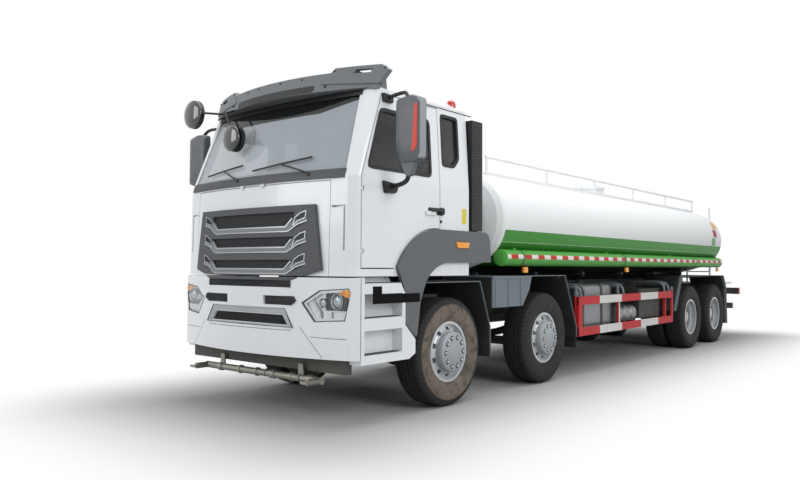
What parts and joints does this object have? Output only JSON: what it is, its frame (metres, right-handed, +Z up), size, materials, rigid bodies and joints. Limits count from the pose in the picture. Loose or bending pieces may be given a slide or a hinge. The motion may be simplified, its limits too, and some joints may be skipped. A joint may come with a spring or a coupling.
{
  "type": "eight-by-four water tanker truck",
  "caption": "Forward-control tanker truck with an elliptical water tank, twin steering axles, twin-tyred bogie, opening doors, service flap and manhole lid.",
  "frame": {"origin": "on the ground, at the middle of the overall length and width", "axes": "+Z up, the nose towards -Y, the vehicle's left side towards +X"},
  "size_m": [3.36, 11.8, 3.205],
  "materials": {
    "cab_paint": "gloss cool white paint",
    "dark_plastic": "moulded dark grey",
    "grey_plastic": "moulded mid grey",
    "trim_silver": "silver painted trim",
    "glass": "clear tinted",
    "lamp_lens": "clear lamp cover",
    "frame_paint": "satin chassis black",
    "cast_grey": "cast and dusty",
    "tyre": "dry and dusty",
    "rim_silver": "silver painted steel",
    "tank_paint": "gloss white over a green band",
    "green_paint": "gloss green",
    "galvanised": "galvanised pipe",
    "blue_grey_paint": "satin blue grey",
    "aluminium": "mill finish sheet",
    "trim_fabric": "woven seat cloth",
    "red_white_paint": "white with red blocks"
  },
  "bodies": {
    "truck": {"axles": "cast_grey", "leaf_springs": "frame_paint", "chassis_frame": "frame_paint", "power_train": "cast_grey", "cab_floor": "cab_paint", "cab_roof": "cab_paint", "cab_rear_wall": "cab_paint", "cab_front": "cab_paint", "cab_sides": "cab_paint", "cab_glass": "glass", "bumper": "cab_paint", "headlamps": "lamp_lens", "spray_bar": "galvanised", "sun_visor": "grey_plastic", "step_panels": "cab_paint", "arch_flares": "grey_plastic", "kerb_mirrors": "dark_plastic", "dashboard": "dark_plastic", "seats": "trim_fabric", "intake_stack": "dark_plastic", "tank": "tank_paint", "tank_cradle": "tank_paint", "manhole_neck": "tank_paint", "tank_rail": "tank_paint", "hose_tubes": "green_paint", "mudguards": "blue_grey_paint", "fuel_tank": "aluminium", "side_boxes": "frame_paint", "side_guards": "red_white_paint", "rear_underrun": "frame_paint", "rear_platform": "frame_paint"},
    "door_left": {"door_left": "cab_paint", "door_glass_left": "glass", "mirror_left": "dark_plastic"},
    "door_right": {"door_right": "cab_paint", "door_glass_right": "glass", "mirror_right": "dark_plastic"},
    "front_flap": {"front_flap": "cab_paint", "grille_bars": "trim_silver"},
    "manhole_lid": {"manhole_lid": "tank_paint"},
    "knuckle_one_left": {"knuckle_one_left": "cast_grey"},
    "wheel_one_left": {"wheel_one_left": "rim_silver", "tyre_one_left": "tyre"},
    "knuckle_one_right": {"knuckle_one_right": "cast_grey"},
    "wheel_one_right": {"wheel_one_right": "rim_silver", "tyre_one_right": "tyre"},
    "knuckle_two_left": {"knuckle_two_left": "cast_grey"},
    "wheel_two_left": {"wheel_two_left": "rim_silver", "tyre_two_left": "tyre"},
    "knuckle_two_right": {"knuckle_two_right": "cast_grey"},
    "wheel_two_right": {"wheel_two_right": "rim_silver", "tyre_two_right": "tyre"},
    "wheels_three_left": {"wheels_three_left": "rim_silver", "tyres_three_left": "tyre"},
    "wheels_three_right": {"wheels_three_right": "rim_silver", "tyres_three_right": "tyre"},
    "wheels_four_left": {"wheels_four_left": "rim_silver", "tyres_four_left": "tyre"},
    "wheels_four_right": {"wheels_four_right": "rim_silver", "tyres_four_right": "tyre"}
  },
  "joints": [
    {"name": "steer_one_left", "type": "hinge", "parent": "truck", "child": "knuckle_one_left", "pos_m": [0.87, -4.25, 0.541], "axis": [0, 0, 1], "range_deg": [-35, 35]},
    {"name": "spin_one_left", "type": "hinge", "parent": "knuckle_one_left", "child": "wheel_one_left", "pos_m": [1.02, -4.25, 0.541], "axis": [1, 0, 0], "continuous": true},
    {"name": "steer_one_right", "type": "hinge", "parent": "truck", "child": "knuckle_one_right", "pos_m": [-0.87, -4.25, 0.541], "axis": [0, 0, 1], "range_deg": [-35, 35]},
    {"name": "spin_one_right", "type": "hinge", "parent": "knuckle_one_right", "child": "wheel_one_right", "pos_m": [-1.02, -4.25, 0.541], "axis": [1, 0, 0], "continuous": true},
    {"name": "steer_two_left", "type": "hinge", "parent": "truck", "child": "knuckle_two_left", "pos_m": [0.87, -2.3, 0.541], "axis": [0, 0, 1], "range_deg": [-25.2, 25.2]},
    {"name": "spin_two_left", "type": "hinge", "parent": "knuckle_two_left", "child": "wheel_two_left", "pos_m": [1.02, -2.3, 0.541], "axis": [1, 0, 0], "continuous": true},
    {"name": "steer_two_right", "type": "hinge", "parent": "truck", "child": "knuckle_two_right", "pos_m": [-0.87, -2.3, 0.541], "axis": [0, 0, 1], "range_deg": [-25.2, 25.2]},
    {"name": "spin_two_right", "type": "hinge", "parent": "knuckle_two_right", "child": "wheel_two_right", "pos_m": [-1.02, -2.3, 0.541], "axis": [1, 0, 0], "continuous": true},
    {"name": "spin_three_left", "type": "hinge", "parent": "truck", "child": "wheels_three_left", "pos_m": [0.918, 2.8, 0.541], "axis": [1, 0, 0], "continuous": true},
    {"name": "spin_three_right", "type": "hinge", "parent": "truck", "child": "wheels_three_right", "pos_m": [-0.918, 2.8, 0.541], "axis": [1, 0, 0], "continuous": true},
    {"name": "spin_four_left", "type": "hinge", "parent": "truck", "child": "wheels_four_left", "pos_m": [0.918, 4.15, 0.541], "axis": [1, 0, 0], "continuous": true},
    {"name": "spin_four_right", "type": "hinge", "parent": "truck", "child": "wheels_four_right", "pos_m": [-0.918, 4.15, 0.541], "axis": [1, 0, 0], "continuous": true},
    {"name": "door_left_swing", "type": "hinge", "parent": "truck", "child": "door_left", "pos_m": [1.208, -5.604, 2.1], "axis": [0, 0, -1], "range_deg": [0, 70]},
    {"name": "door_right_swing", "type": "hinge", "parent": "truck", "child": "door_right", "pos_m": [-1.208, -5.604, 2.1], "axis": [0, 0, 1], "range_deg": [0, 70]},
    {"name": "flap_lift", "type": "hinge", "parent": "truck", "child": "front_flap", "pos_m": [0, -5.822, 2.133], "axis": [-1, 0, 0], "range_deg": [0, 60]},
    {"name": "lid_swing", "type": "hinge", "parent": "truck", "child": "manhole_lid", "pos_m": [0, 1.66, 2.7165], "axis": [-1, 0, 0], "range_deg": [0, 100]}
  ],
  "couplings": [
    {"joint": "steer_one_right", "follows": "steer_one_left", "ratio": 1},
    {"joint": "steer_two_left", "follows": "steer_one_left", "ratio": 0.72},
    {"joint": "steer_two_right", "follows": "steer_one_left", "ratio": 0.72}
  ]
}
